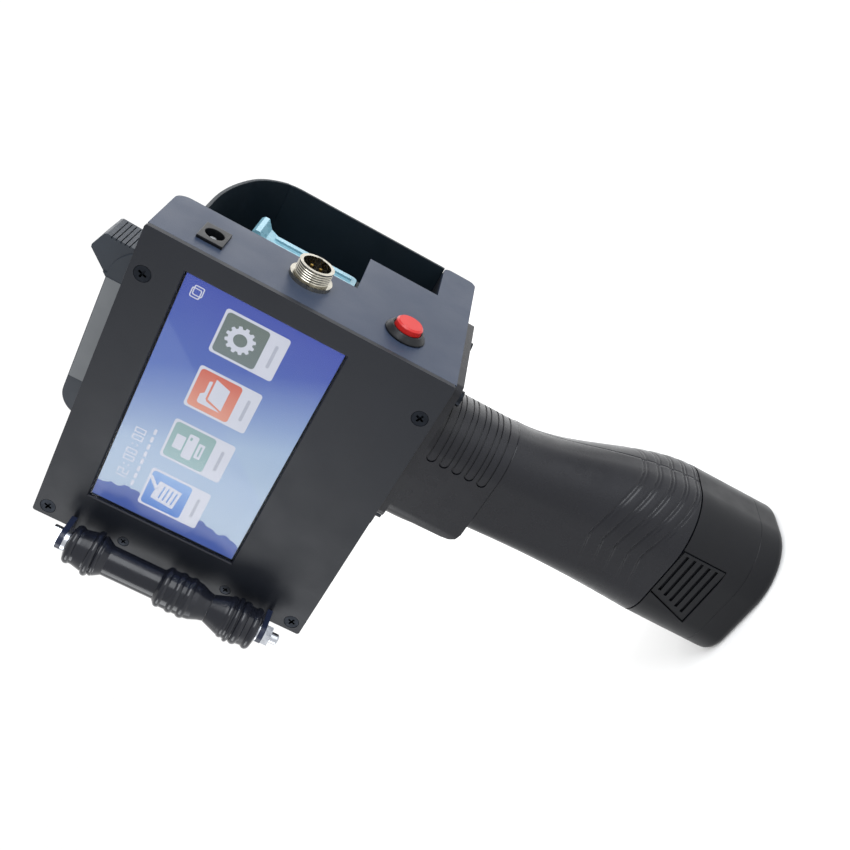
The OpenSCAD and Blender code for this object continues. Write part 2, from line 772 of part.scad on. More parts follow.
module contact_pins() {
    color("#d8b765") for (k = [-3 : 3], x = [-4, 2])
        rod_y(snout_start + x, back_y - 6.5, back_y + 0.6, cart_mid_z + 2.2 * k, 1);
}

// Quarter disc that fills the corner up and to the right of its centre
module quarter(centre, r) {
    intersection() {
        translate(centre) circle(r, $fn = 96);
        translate(centre) square(r + 1);
    }
}

// Section of the grip adapter from its front at x0: flat front, and a back that is rounded
// tightly on the screen side and widely on the far side
module neck_outline(x0, inset) {
    y0 = -neck_half + inset;
    y1 = neck_far - inset;
    corner = 7 - inset;
    near = [neck_back - near_r, -neck_half + near_r];
    far = [neck_back - far_r, neck_far - far_r];
    translate([x0 + corner, y0]) square([near[0] - x0 - corner, far[1] - y0]);
    translate([x0 + corner, far[1] - 1]) square([far[0] - x0 - corner, y1 - far[1] + 1]);
    translate([x0, y0 + corner]) square([corner + 1, y1 - y0 - 2 * corner]);
    for (y = [y0 + corner, y1 - corner]) translate([x0 + corner, y]) circle(corner);
    translate(near) circle(near_r - inset, $fn = 96);
    translate(near) square([near_r - inset, far[1] - near[1]]);
    quarter(far, far_r - inset);
}

flange_screws_at = [[-40, 9], [19.5, 18]];
flange_front = -46;
flange_back = 26.3;
ring_pitch = 4.7;
ring_count = 5;
spigot_x = -7;
spigot_r = 12.2;

// Side profile that trims the adapter: front face that flares out under the housing, and a
// beak over the trigger finger
module neck_profile() {
    top = base_z - flange_t;
    polygon([[neck_front, top], [neck_front + 0.5, top - 1.6], [neck_front + 1.7, top - 5],
        [neck_front + 2.9, top - 10], [neck_front + 3.3, grip_top + 5.4],
        [neck_front + 4, grip_top + 2.6], [neck_front + 5.6, grip_top + 0.8],
        [neck_front + 8.4, grip_top], [neck_back + 1, grip_top], [neck_back + 1, top]]);
}

// One shallow groove loop: wraps the back and closes in a round end on each side face
module ring_groove(z) {
    depth = 0.5;
    width = 0.6;
    band = 2.8;
    near_end = -1;
    far_end = neck_back - far_r;
    for (dz = [-band / 2, band / 2]) translate([0, 0, z + dz - width / 2]) linear_extrude(width)
        intersection() {
            difference() {
                neck_outline(neck_front, -1);
                neck_outline(neck_front, depth);
            }
            union() {
                translate([near_end, -neck_half - 2]) square([40, neck_half + 2]);
                translate([far_end, -0.1]) square([80, neck_half + 2]);
            }
        }
    for (end = [[near_end, -neck_half], [far_end, neck_far]]) translate([end[0], end[1], z])
        rotate([90, 0, 0]) difference() {
            translate([0, 0, -depth]) cylinder(h = 2 * depth, r = (band + width) / 2);
            translate([0, 0, -depth - 1]) cylinder(h = 2 * depth + 2, r = (band - width) / 2);
            translate([0, -5, -5]) cube([5, 10, 10]);
        }
}

module grip_adapter() {
    color("#2b2d31") difference() {
        union() {
            translate([0, 0, base_z - flange_t]) linear_extrude(flange_t) union() {
                rounded_box(neck_front, -neck_half - 0.4, flange_back, neck_half + 0.4, 3);
                rounded_box(flange_front, -14, neck_front + 6, 14, 4);
            }
            intersection() {
                translate([0, 0, grip_top]) linear_extrude(base_z - flange_t - grip_top)
                    neck_outline(neck_front, 0);
                along_y(-neck_half - 1, neck_half + 1) neck_profile();
            }
            translate([spigot_x, 0, grip_top - 9]) cylinder(h = 10, r = spigot_r);
        }
        translate([0, 0, grip_top + 2.5]) linear_extrude(base_z - grip_top)
            neck_outline(neck_face + neck_wall, neck_wall);
        translate([spigot_x, 0, grip_top - 10]) cylinder(h = 20, r = spigot_r - 2.4);
        block([neck_front - 1, -trigger_w / 2 - 0.4, trigger_z - trigger_h / 2 - 0.4],
            [neck_face + 8, trigger_w / 2 + 0.4, trigger_z + trigger_h / 2 + 0.4]);
        for (k = [0 : ring_count - 1]) ring_groove(grip_top + 4.6 + ring_pitch * k);
        for (p = flange_screws_at, side = [-1, 1])
            rod_z(p[0], side * p[1], base_z - flange_t - 1, base_z + 1, m3_d + 0.2);
    }
}

module flange_screws() {
    color("#25272b") for (p = flange_screws_at, side = [-1, 1])
        translate([p[0], side * p[1], base_z - flange_t - 2.2]) difference() {
            union() {
                cylinder(h = 2.2, d = 5.5);
                cylinder(h = 2.2 + flange_t + 3, d = m3_d - 0.1);
            }
            translate([0, 0, -1]) cylinder(h = 2.2, d = 2.5 / cos(30), $fn = 6);
        }
}

// Grip sections as [height, front x, back x, near width, front, near back and far back radius,
// far width]
function mix(a, b, t) = a + (b - a) * t;
function smooth(t) = t * t * (3 - 2 * t);
grip_low = battery_h + grip_seam;
grip_steps = 14;
function grip_level(t, inset) =
    let (s = smooth(t), bulge = sin(180 * t))
    [mix(grip_low, grip_top - 0.1, t),
     mix(-half_battery, neck_face + 6.1, s) + inset + 0.8 * bulge,
     mix(half_battery, neck_back, s) - inset,
     mix(battery_y / 2, neck_half - 0.6, s) - inset - 0.6 * bulge,
     mix(battery_r, 6, s) - inset * 0.6,
     mix(battery_back_r, near_r, s) - inset,
     mix(battery_back_r, far_r - 1.5, s) - inset,
     mix(battery_y / 2, neck_far - 0.6, s) - inset - 0.6 * bulge];
corner_steps = 8;
function corner_points(cx, cy, r, a0) =
    [for (i = [0 : corner_steps]) let (a = a0 + 90 * i / corner_steps)
        [cx + r * cos(a), cy + r * sin(a)]];
function level_outline(v) = concat(
    corner_points(v[2] - v[6], v[7] - v[6], v[6], 0),
    corner_points(v[1] + v[4], v[7] - v[4], v[4], 90),
    corner_points(v[1] + v[4], -v[3] + v[4], v[4], 180),
    corner_points(v[2] - v[5], -v[3] + v[5], v[5], 270));

// Solid through the grip's sections, shrunk by inset and stopping short of both ends by margin
module grip_loft(inset, margin) {
    count = 4 * (corner_steps + 1);
    t0 = margin / (grip_top - grip_low);
    levels = [for (k = [0 : grip_steps]) grip_level(mix(t0, 1 - t0, k / grip_steps), inset)];
    points = [for (v = levels) for (p = level_outline(v)) [p[0], p[1], v[0]]];
    sides = [for (k = [0 : grip_steps - 1], i = [0 : count - 1])
        let (a = k * count, j = (i + 1) % count)
        for (f = [[a + i, a + count + i, a + j], [a + j, a + count + i, a + count + j]]) f];
    bottom = [for (i = [count - 1 : -1 : 0]) i];
    top = [for (i = [0 : count - 1]) grip_steps * count + i];
    polyhedron(points = points, faces = concat(sides, [bottom, top]), convexity = 4);
}

grip_screw_x = -8;
grip_screw_z = [grip_top - 31, grip_top - 19];

boss_d = 8;

// Far wall of the grip at a height, a millimetre under its surface
function far_wall(z) = grip_level((z - grip_low) / (grip_top - 0.1 - grip_low), 1)[7];

module grip_half(side) {
    other = side < 0 ? 0 : -50;
    color("#2b2d31") difference() {
        union() {
            difference() {
                grip_loft(0, 0);
                grip_loft(grip_wall, 2.4);
            }
            for (z = grip_screw_z)
                rod_y(grip_screw_x, side < 0 ? -neck_half + 2 : 0, side < 0 ? 0 : far_wall(z),
                    z, boss_d);
        }
        translate([0, 0, grip_low - 1]) linear_extrude(4)
            rounded_box(-stem_x / 2 - 0.5, -stem_y / 2 - 0.5, stem_x / 2 + 0.5, stem_y / 2 + 0.5,
                stem_r + 0.5);
        translate([spigot_x, 0, grip_top - 3]) cylinder(h = 4, r = spigot_r + 0.2);
        for (z = grip_screw_z) {
            rod_y(grip_screw_x, -10, 30, z, m3_d + 0.1);
            rod_y(grip_screw_x, 10, 30, z, 6);
        }
        block([-60, other, grip_low - 5], [60, other + 50, grip_top + 5]);
    }
}

module grip_shell_near() { grip_half(-1); }

module grip_shell_far() { grip_half(1); }

module grip_screws() {
    color("#25272b") for (z = grip_screw_z) difference() {
        union() {
            rod_y(grip_screw_x, 10, 12, z, 5.6);
            rod_y(grip_screw_x, -9.5, 10.1, z, m3_d);
        }
        translate([grip_screw_x, 12, z]) cube([3, 1.6, 0.7], center = true);
        translate([grip_screw_x, 12, z]) cube([0.7, 1.6, 3], center = true);
    }
}

// Finger key of the trigger: hollowed front face, and a flange that stays behind the wall
module trigger() {
    half_h = trigger_h / 2;
    half_w = trigger_w / 2;
    face = neck_face - 4;
    seat = neck_face + neck_wall + 0.2;
    color("#202226") difference() {
        union() {
            along_y(-half_w, half_w) rounded_box(face, trigger_z - half_h, seat + 2,
                trigger_z + half_h, 1.5);
            block([seat, -half_w - 1.6, trigger_z - half_h - 1.2],
                [seat + 1.6, half_w + 1.6, trigger_z + half_h + 1.2]);
        }
        rod_y(face - 17.2, -half_w - 1, half_w + 1, trigger_z, 38);
    }
}

module trigger_switch() {
    x0 = neck_face + neck_wall + 2.2 + trigger_travel + 0.6;
    floor_z = grip_top + 2.5;
    color("#15161a") union() {
        block([x0, -3.2, floor_z + 3], [x0 + 9, 3.2, trigger_z + 7]);
        block([x0 + 3, -14, floor_z], [x0 + 6, 14, floor_z + 3.1]);
        block([x0 + 8.9, -1, trigger_z - 7], [x0 + 13, 1, trigger_z - 6]);
        block([x0 + 8.9, -1, trigger_z + 3], [x0 + 13, 1, trigger_z + 4]);
    }
}

module terminal_block() {
    z0 = battery_h + stem_h + 1.6;
    color("#c4c7cc") union() {
        for (y = [-8, 0, 8]) block([-10, y - 1.2, z0 - 0.5], [-3, y + 1.2, z0 + 0.1]);
        block([-14, -22, z0], [-2, 19.1, z0 + 5]);
    }
}

// Outline of the battery pack: wide corners at the back, tighter ones in front
module pack_outline() {
    x = battery_x / 2;
    y = battery_y / 2;
    front = battery_r;
    back = battery_back_r;
    translate([-x + front, -y]) square([2 * x - front - back, 2 * y]);
    translate([-x, -y + front]) square([x, 2 * (y - front)]);
    translate([0, -y + back]) square([x, 2 * (y - back)]);
    for (side = [-1, 1]) {
        translate([-x + front, side * (y - front)]) circle(front);
        translate([x - back, side * (y - back)]) circle(back);
    }
}

// Foot of the battery pack with a rounded lower edge
module rounded_foot(edge, h) {
    x = battery_x / 2;
    y = battery_y / 2;
    front = battery_r;
    back = battery_back_r;
    block([-x + front, -y + edge, 0], [x - back, y - edge, h]);
    block([-x + edge, -y + front, 0], [0.1, y - front, h]);
    block([0, -y + back, 0], [x - edge, y - back, h]);
    translate([0, 0, edge]) linear_extrude(h - edge) pack_outline();
    for (side = [-1, 1]) {
        rod_x(-x + front, x - back, side * (y - edge), edge, 2 * edge);
        for (c = [[-x + front, front], [x - back, back]])
            translate([c[0], side * (y - c[1]), 0]) rotate_extrude() {
                square([c[1] - edge, h]);
                translate([c[1] - edge, edge]) circle(edge, $fn = 48);
            }
    }
    rod_y(-x + edge, -y + front, y - front, edge, 2 * edge);
    rod_y(x - edge, -y + back, y - back, edge, 2 * edge);
}

module battery_end_cap() {
    color("#232529") rounded_foot(3, end_cap_h);
}

// Outline of a battery latch in X-Z: upright at the back, leaning at the front
module latch_outline(inset) {
    z0 = battery_h - 16.8 + inset;
    z1 = battery_h - 0.4 - inset;
    polygon([[-13.6 + inset, z0], [11.2 - inset, z0], [11.2 - inset, z1], [-8.2 + inset, z1]]);
}

module battery_shell() {
    y = battery_y / 2;
    cells = 2 * cell_d + 1.6;
    color("#26282c") difference() {
        union() {
            translate([0, 0, end_cap_h]) linear_extrude(battery_h - end_cap_h)
                pack_outline();
            translate([0, 0, battery_h - 1]) linear_extrude(stem_h + 1)
                rounded_box(-stem_x / 2, -stem_y / 2, stem_x / 2, stem_y / 2, stem_r);
        }
        translate([0, 0, end_cap_h - 1]) linear_extrude(battery_h + stem_h - 0.5 - end_cap_h)
            rounded_box(-cells / 2, -cells / 2, cells / 2, cells / 2, cell_d / 2);
        along_y(-y - 1, -y + latch_depth + latch_travel + 0.6) latch_outline(-0.3);
        along_y(y - latch_depth - latch_travel - 0.6, y + 1) latch_outline(-0.3);
    }
}

module battery_cells() {
    color("#3e7d5a") for (x = [-0.5, 0.5], y = [-0.5, 0.5])
        rod_z(x * (cell_d + 0.4), y * (cell_d + 0.4), end_cap_h, end_cap_h + cell_h * 0.94, cell_d);
}

module battery_terminals() {
    z0 = battery_h + stem_h;
    color("#d8b765") for (y = [-8, 0, 8]) block([-10, y - 1.5, z0], [-3, y + 1.5, z0 + 0.8]);
}

// Latch pad, pressed into its pocket to free the battery; slots give it grip
module battery_latch(side) {
    skin = side * (battery_y / 2 - 0.6);
    core = side * (battery_y / 2 - 0.6 - latch_depth);
    slots = 5;
    color("#232529") difference() {
        along_y(min(skin, core), max(skin, core)) latch_outline(0);
        for (k = [0 : slots - 1]) {
            z = battery_h - 14.6 + 2.9 * k;
            block([-10.6 + 1.0 * k, min(skin - side, skin + side), z],
                [10.2, max(skin - side, skin + side), z + 1.1]);
        }
    }
}

module battery_latch_near() { battery_latch(-1); }

module battery_latch_far() { battery_latch(1); }

front_panel();
display_housing();
rear_plate();
base_tray();
bay_shell();
print_face();
touch_glass();
lcd_module();
main_board();
board_chips();
board_spacers();
panel_posts();
panel_screws();
bracket_screws();
roller_bracket();
roller_axle();
axle_nut();
axle_washers();
upper_roller();
lower_roller();
dc_jack();
jack_pin();
connector_shell();
connector_insert();
connector_pins();
connector_nut();
button_bezel();
button_nut();
button_switch();
button_cap();
hinge_post();
hinge_pin();
latch_lever();
latch_label();
cartridge_body();
cartridge_nozzle();
cartridge_rails();
contact_block();
contact_pins();
grip_adapter();
flange_screws();
grip_shell_near();
grip_shell_far();
grip_screws();
trigger();
trigger_switch();
terminal_block();
battery_shell();
battery_end_cap();
battery_cells();
battery_terminals();
battery_latch_near();
battery_latch_far();
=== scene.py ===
"""Looks of a handheld date code inkjet printer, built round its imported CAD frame."""
import math

import bmesh
import bpy
from mathutils import Matrix, Vector


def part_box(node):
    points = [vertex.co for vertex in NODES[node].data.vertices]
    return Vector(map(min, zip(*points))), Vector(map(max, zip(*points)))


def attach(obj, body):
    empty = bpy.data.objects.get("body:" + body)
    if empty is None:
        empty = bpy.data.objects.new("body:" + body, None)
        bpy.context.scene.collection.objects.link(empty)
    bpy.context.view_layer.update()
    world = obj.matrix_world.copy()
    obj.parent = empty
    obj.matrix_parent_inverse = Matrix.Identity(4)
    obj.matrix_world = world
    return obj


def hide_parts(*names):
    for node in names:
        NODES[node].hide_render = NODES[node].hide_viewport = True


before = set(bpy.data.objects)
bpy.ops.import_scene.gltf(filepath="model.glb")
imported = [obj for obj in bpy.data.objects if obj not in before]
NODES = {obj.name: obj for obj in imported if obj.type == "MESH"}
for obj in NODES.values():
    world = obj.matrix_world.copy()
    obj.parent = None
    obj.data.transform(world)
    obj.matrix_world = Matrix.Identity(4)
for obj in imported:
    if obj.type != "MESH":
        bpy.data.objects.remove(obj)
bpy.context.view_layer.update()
MM = 0.001


# ---------------------------------------------------------------- camera, lights, floor

CAMERA_AT = (0.16713, -0.29988, 0.18070)
CAMERA_HEADING = -29.933
CAMERA_PITCH = -8.722
CAMERA_ROLL = -62.453
CAMERA_LENS = 42.36


def make_camera():
    heading, pitch = math.radians(CAMERA_HEADING), math.radians(CAMERA_PITCH)
    forward = Vector((math.sin(heading) * math.cos(pitch), math.cos(heading) * math.cos(pitch),
                      math.sin(pitch)))
    data = bpy.data.cameras.new("camera")
    data.lens = CAMERA_LENS
    data.sensor_width = 36
    data.clip_start = 0.01
    camera = bpy.data.objects.new("camera", data)
    level = forward.to_track_quat("-Z", "Y").to_matrix().to_4x4()
    turn = level @ Matrix.Rotation(math.radians(CAMERA_ROLL), 4, "Z")
    camera.matrix_world = Matrix.Translation(CAMERA_AT) @ turn
    bpy.context.scene.collection.objects.link(camera)
    bpy.context.scene.camera = camera


def area_light(name, at, aim, size, power, tint=(1, 1, 1)):
    data = bpy.data.lights.new(name, "AREA")
    data.shape = "RECTANGLE"
    data.size, data.size_y = size
    data.energy = power
    data.color = tint
    light = bpy.data.objects.new(name, data)
    light.location = at
    light.visible_camera = False
    light.rotation_euler = (Vector(aim) - Vector(at)).to_track_quat("-Z", "Y").to_euler()
    bpy.context.scene.collection.objects.link(light)


def make_studio():
    middle = (0, 0, 0.15)
    area_light("key_softbox", (0.75, -0.2, 0.4), middle, (0.7, 0.5), 8, (0.93, 0.96, 1))
    area_light("side_softbox", (-0.75, -0.55, 0.12), middle, (0.5, 0.6), 5, (0.96, 0.98, 1))
    area_light("back_softbox", (0.1, 0.9, 0.5), middle, (0.8, 0.8), 4)
    world = bpy.data.worlds.new("studio")
    world.use_nodes = True
    sky = world.node_tree.nodes["Background"]
    sky.inputs["Color"].default_value = (1, 1, 1, 1)
    sky.inputs["Strength"].default_value = 1.06
    bpy.context.scene.world = world
    bpy.context.scene.view_settings.view_transform = "Standard"


def make_floor():
    reach = 60
    mesh = bpy.data.meshes.new("floor")
    mesh.from_pydata([(-reach, -reach, 0), (reach, -reach, 0), (reach, reach, 0), (-reach, reach, 0)],
                     [], [(0, 1, 2, 3)])
    floor = bpy.data.objects.new("floor", mesh)
    bpy.context.scene.collection.objects.link(floor)
    paint = Material("floor_paint", {"Roughness": 0.85})
    paint.colour(paint.blend(paint.noise(0.4), "#f8f8f8", "#fbfbfa"))
    mesh.materials.append(paint.data)


# ---------------------------------------------------------------- material builder


def tone(code):
    """A colour such as #3d4046 as the linear values that shaders take."""
    def linear(value):
        return value / 12.92 if value <= 0.04045 else ((value + 0.055) / 1.055) ** 2.4
    return tuple(linear(int(code[i:i + 2], 16) / 255) for i in (1, 3, 5)) + (1,)


class Material:
    """A material and short ways to add nodes to it. Sizes are in metres, in the part's frame."""

    def __init__(self, name, values):
        self.data = bpy.data.materials.new(name)
        self.data.use_nodes = True
        self.nodes = self.data.node_tree.nodes
        self.links = self.data.node_tree.links
        self.shader = self.nodes["Principled BSDF"]
        for socket, value in values.items():
            self.shader.inputs[socket].default_value = value
        self.place = self.nodes.new("ShaderNodeTexCoord").outputs["Object"]

    def add(self, kind, **settings):
        node = self.nodes.new(kind)
        for key, value in settings.items():
            setattr(node, key, value)
        return node

    def feed(self, socket, source):
        if hasattr(source, "links"):
            self.links.new(source, socket)
        elif isinstance(source, str):
            socket.default_value = tone(source)
        else:
            socket.default_value = source

    def noise(self, size, detail=2.0):
        """Soft cloudy factor whose blobs are about size across."""
        node = self.add("ShaderNodeTexNoise")
        self.feed(node.inputs["Vector"], self.place)
        node.inputs["Scale"].default_value = 1 / size
        node.inputs["Detail"].default_value = detail
        return node.outputs["Fac"]

    def between(self, factor, low, high, from_low=0.0, from_high=1.0):
        """Maps a factor's range to low..high."""
        node = self.add("ShaderNodeMapRange")
        self.feed(node.inputs["Value"], factor)
        node.inputs["From Min"].default_value = from_low
        node.inputs["From Max"].default_value = from_high
        node.inputs["To Min"].default_value = low
        node.inputs["To Max"].default_value = high
        return node.outputs["Result"]

    def math(self, operation, a, b=0.0):
        node = self.add("ShaderNodeMath", operation=operation)
        self.feed(node.inputs[0], a)
        self.feed(node.inputs[1], b)
        return node.outputs[0]

    def blend(self, factor, a, b):
        """Colour a where the factor is 0, b where it is 1."""
        node = self.add("ShaderNodeMix", data_type="RGBA")
        self.feed(node.inputs["Factor"], factor)
        self.feed(node.inputs["A"], a)
        self.feed(node.inputs["B"], b)
        return node.outputs["Result"]

    def part_of_place(self, axis):
        node = self.add("ShaderNodeSeparateXYZ")
        self.feed(node.inputs[0], self.place)
        return node.outputs[axis]

    def colour(self, source):
        self.feed(self.shader.inputs["Base Color"], source)

    def roughness(self, source):
        self.feed(self.shader.inputs["Roughness"], source)

    def bump(self, height, distance):
        """Adds relief: height 0..1 is worth distance metres."""
        node = self.add("ShaderNodeBump")
        node.inputs["Strength"].default_value = 1
        node.inputs["Distance"].default_value = distance
        self.feed(node.inputs["Height"], height)
        self.links.new(node.outputs["Normal"], self.shader.inputs["Normal"])


# ---------------------------------------------------------------- materials by slot


def powder_coat(name, dark, light, roughness, grain=0.00042, depth=0.00002, specular=0.25):
    """Sprayed powder paint: fine orange peel, slow drift of tone and gloss."""
    paint = Material(name, {"Specular IOR Level": specular})
    paint.colour(paint.blend(paint.noise(0.03, 3), dark, light))
    paint.roughness(paint.between(paint.noise(0.012, 4), roughness - 0.05, roughness + 0.06, 0.3, 0.7))
    paint.bump(paint.noise(grain, 3), depth)
    return paint.data


def moulded(name, dark, light, roughness, grain=0.0005, depth=0.000012, specular=0.3):
    """Injection moulded plastic with a fine etched grain and faint handling marks."""
    plastic = Material(name, {"Specular IOR Level": specular})
    plastic.colour(plastic.blend(plastic.noise(0.02, 3), dark, light))
    plastic.roughness(plastic.between(plastic.noise(0.006, 5), roughness - 0.05, roughness + 0.07,
                                      0.3, 0.7))
    plastic.bump(plastic.noise(grain, 4), depth)
    return plastic.data


def metal(name, dark, light, roughness):
    """Turned or plated metal, lightly marked by the tool."""
    plate = Material(name, {"Metallic": 1.0})
    plate.colour(plate.blend(plate.noise(0.002, 4), dark, light))
    plate.roughness(plate.between(plate.noise(0.0012, 4), roughness - 0.06,
                                  roughness + 0.1, 0.3, 0.7))
    plate.bump(plate.noise(0.00025, 2), 0.000004)
    return plate.data


def screen_glass():
    glass = Material("screen_glass", {"Base Color": (0.01, 0.012, 0.015, 1), "Alpha": 0.12})
    glass.roughness(glass.between(glass.noise(0.015, 3), 0.06, 0.14, 0.3, 0.7))
    return glass.data


def cartridge_plastic():
    shell = Material("cartridge_plastic", {"Specular IOR Level": 0.6})
    shell.colour(shell.blend(shell.noise(0.01, 3), "#557d8c", "#7098a5"))
    shell.roughness(shell.between(shell.noise(0.004, 4), 0.2, 0.34, 0.3, 0.7))
    shell.bump(shell.noise(0.0006, 2), 0.000006)
    return shell.data


def make_materials():
    return {
        "panel_paint": powder_coat("panel_paint", "#0e1117", "#12151c", 0.42, specular=0.22),
        # The rear plate is the panel's bluish dark paint drawn lighter: painted light for the lamp
        # above, which it faces.
        "rear_paint": powder_coat("rear_paint", "#212a3a", "#262f40", 0.4),
        "housing_paint": powder_coat("housing_paint", "#121419", "#16181e", 0.45),
        "bay_black": powder_coat("bay_black", "#0b1319", "#101a21", 0.45, specular=0.2),
        "screen_glass": screen_glass(),
        "screen_face": moulded("screen_face", "#0a0b0d", "#101114", 0.5),
        "board_green": moulded("board_green", "#174a2e", "#1f5c3a", 0.4),
        "chip_black": moulded("chip_black", "#121316", "#1a1b1e", 0.5),
        "brass": metal("brass", "#b08d3e", "#d8b765", 0.25),
        "steel": metal("steel", "#8f9299", "#c4c7cc", 0.3),
        # Nickel is drawn darker and browner than bright plating: painted reflection of the dark
        # grey-brown surroundings it mirrors.
        "nickel": metal("nickel", "#807d74", "#b0aca0", 0.2),
        "dark_screw": metal("dark_screw", "#15171b", "#22252a", 0.38),
        "bracket_paint": powder_coat("bracket_paint", "#141a2b", "#1b2236", 0.35),
        "roller_gloss": moulded("roller_gloss", "#0d0f15", "#14161e", 0.2, depth=0.000006),
        "fitting_black": moulded("fitting_black", "#08090c", "#0d0f13", 0.33, specular=0.22),
        "button_red": moulded("button_red", "#981513", "#aa1d1a", 0.35),
        "lever_grey": moulded("lever_grey", "#1c222a", "#232a33", 0.45),
        "label_grey": moulded("label_grey", "#5d6063", "#686b6e", 0.55),
        "cartridge_cyan": cartridge_plastic(),
        "contact_blue": moulded("contact_blue", "#23507e", "#2c5d8f", 0.45),
        "grip_satin": moulded("grip_satin", "#0a0b10", "#0f1016", 0.27, specular=0.24),
        "battery_satin": moulded("battery_satin", "#07080c", "#0b0c10", 0.36, specular=0.2),
        "cell_wrap": moulded("cell_wrap", "#35714f", "#3e7d5a", 0.4),
    }


def dress_nodes(finishes):
    """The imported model's own materials are named after their slots."""
    for node in NODES.values():
        slots = node.data.materials
        slots[0] = finishes[slots[0].name]


# ---------------------------------------------------------------- softened edges

SHARP = math.radians(32)
SOFT_EDGES = {
    "front_panel": 0.25, "display_housing": 0.3, "rear_plate": 0.35, "base_tray": 0.3,
    "latch_lever": 0.5, "cartridge_body": 0.35, "roller_bracket": 0.2, "bay_shell": 0.25,
    "print_face": 0.2, "dc_jack": 0.18, "grip_adapter": 0.25, "battery_shell": 0.25,
    "battery_end_cap": 0.3, "hinge_post": 0.3,
    "trigger": 0.3, "contact_block": 0.2, "button_bezel": 0.15}


def soften(node, width):
    """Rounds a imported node's sharp edges a little, as moulding or painting would."""
    joined = node.modifiers.new("joined", "WELD")
    joined.merge_threshold = 1e-6
    flat = node.modifiers.new("flat", "DECIMATE")
    flat.decimate_type = "DISSOLVE"
    flat.angle_limit = math.radians(0.5)
    round_edge = node.modifiers.new("round_edge", "BEVEL")
    round_edge.limit_method = "ANGLE"
    round_edge.angle_limit = SHARP
    round_edge.width = width * MM
    round_edge.segments = 2
    round_edge.use_clamp_overlap = True
    node.modifiers.new("even", "WEIGHTED_NORMAL").keep_sharp = False
    node.data.polygons.foreach_set("use_smooth", [True] * len(node.data.polygons))


def soften_nodes():
    for name, width in SOFT_EDGES.items():
        soften(NODES[name], width)


# ---------------------------------------------------------------- mesh helpers


def add_piece(name, mesh, body, material):
    """Puts a finished mesh in the scene as a piece that rides on a body."""
    piece = bpy.data.objects.new(name, mesh)
    bpy.context.scene.collection.objects.link(piece)
    mesh.materials.append(material)
    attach(piece, body)
    return piece


def arc(cx, cy, radius, start, end, steps):
    """Points on an arc, angles in degrees, both ends included."""
    turn = [math.radians(start + (end - start) * i / steps) for i in range(steps + 1)]
    return [(cx + radius * math.cos(a), cy + radius * math.sin(a)) for a in turn]


def round_box(x0, y0, x1, y1, radius, steps=6):
    """Loop of a rectangle with round corners."""
    corners = [(x1 - radius, y1 - radius, 0), (x0 + radius, y1 - radius, 90),
               (x0 + radius, y0 + radius, 180), (x1 - radius, y0 + radius, 270)]
    return [p for cx, cy, a in corners for p in arc(cx, cy, radius, a, a + 90, steps)]


def plate_mesh(name, loops, thickness):
    """Solid plate from closed loops in x-z, loops inside loops being holes. Its front is at
    y = 0 and its back at y = thickness."""
    curve = bpy.data.curves.new(name, "CURVE")
    curve.dimensions = "2D"
    curve.fill_mode = "BOTH"
    curve.extrude = thickness / 2
    for loop in loops:
        spline = curve.splines.new("POLY")
        spline.points.add(len(loop) - 1)
        for point, (x, z) in zip(spline.points, loop):
            point.co = (x, z, 0, 1)
        spline.use_cyclic_u = True
    holder = bpy.data.objects.new(name, curve)
    bpy.context.scene.collection.objects.link(holder)
    bpy.context.view_layer.update()
    mesh = bpy.data.meshes.new_from_object(holder.evaluated_get(
        bpy.context.evaluated_depsgraph_get()))
    bpy.data.objects.remove(holder)
    bpy.data.curves.remove(curve)
    mesh.materials.clear()
    mesh.transform(Matrix.Translation((0, thickness / 2, 0)) @ Matrix.Rotation(math.pi / 2, 4, "X"))
    mesh.name = name
    return mesh


# ---------------------------------------------------------------- the grip's two skins

SKIN = 2.2
SEAM = 0.06
COLUMNS = {"front": 5, "front_corner": 14, "flat": 26, "back": 50}

# Section sizes at the grip's foot and at its neck
FRONT = (-25.5, -22.3)
BACK = (25.5, 14.5)
FRONT_RADIUS = (13, 6)
NEAR_HALF, NEAR_RADIUS = (25, 24.4), (20.5, 13.5)
FAR_HALF, FAR_RADIUS = (25, 18.4), (20.5, 28.5)
FRONT_WAIST, SIDE_WAIST = 0.8, 0.6

# Grooves: the heights of their points, how they fall away to both sides, and their profile
GROOVES = (64.7, 59.6, 54.7, 49.7, 45.1)
GROOVE_X = 0.8
FRONT_SLOPE, FRONT_FADE, FRONT_FAINT = 0.217, 15, 0.12
BACK_DROP, BACK_RUN = 8.4, 34
GROOVE_CUT, GROOVE_WIDTH = 0.34, 0.3
STEP_CUT, STEP_HEIGHT = 0.26, 3.8
PAIR_CUT, PAIR_GAP, PAIR_START, PAIR_GROWTH, PAIR_SHARE = 0.3, 1.25, 7, 10, 0.7

# Rows of the skin: fine where it is grooved, and a small lip at its foot
FINE_ROW, COARSE_ROW, GROOVED_TO = 0.22, 1.2, 68
LIP_HEIGHT, LIP_CUT = 0.4, 0.25

# Floor round the battery's neck, and the screws' bosses and holes
NECK_HALF, NECK_CORNER, FLOOR = 16, 8.5, 2
FLOOR_SHRINK, FLOOR_LIFT = 0.97, 0.06
HOLE_RADIUS, BOSS_RADIUS, BOSS_SIDES = 3.05, 4, 40
BOSS_FROM, BOSS_TO = 0.1, 17
HOLE_MIDDLE, HOLE_LENGTH = 19, 12


def mix(a, b, t):
    return a + (b - a) * t


def eased(t):
    return t * t * (3 - 2 * t)


def runs_along(way):
    """How far along the path each of its points is."""
    runs = [0.0]
    for a, b in zip(way, way[1:]):
        runs.append(runs[-1] + math.dist(a, b))
    return runs


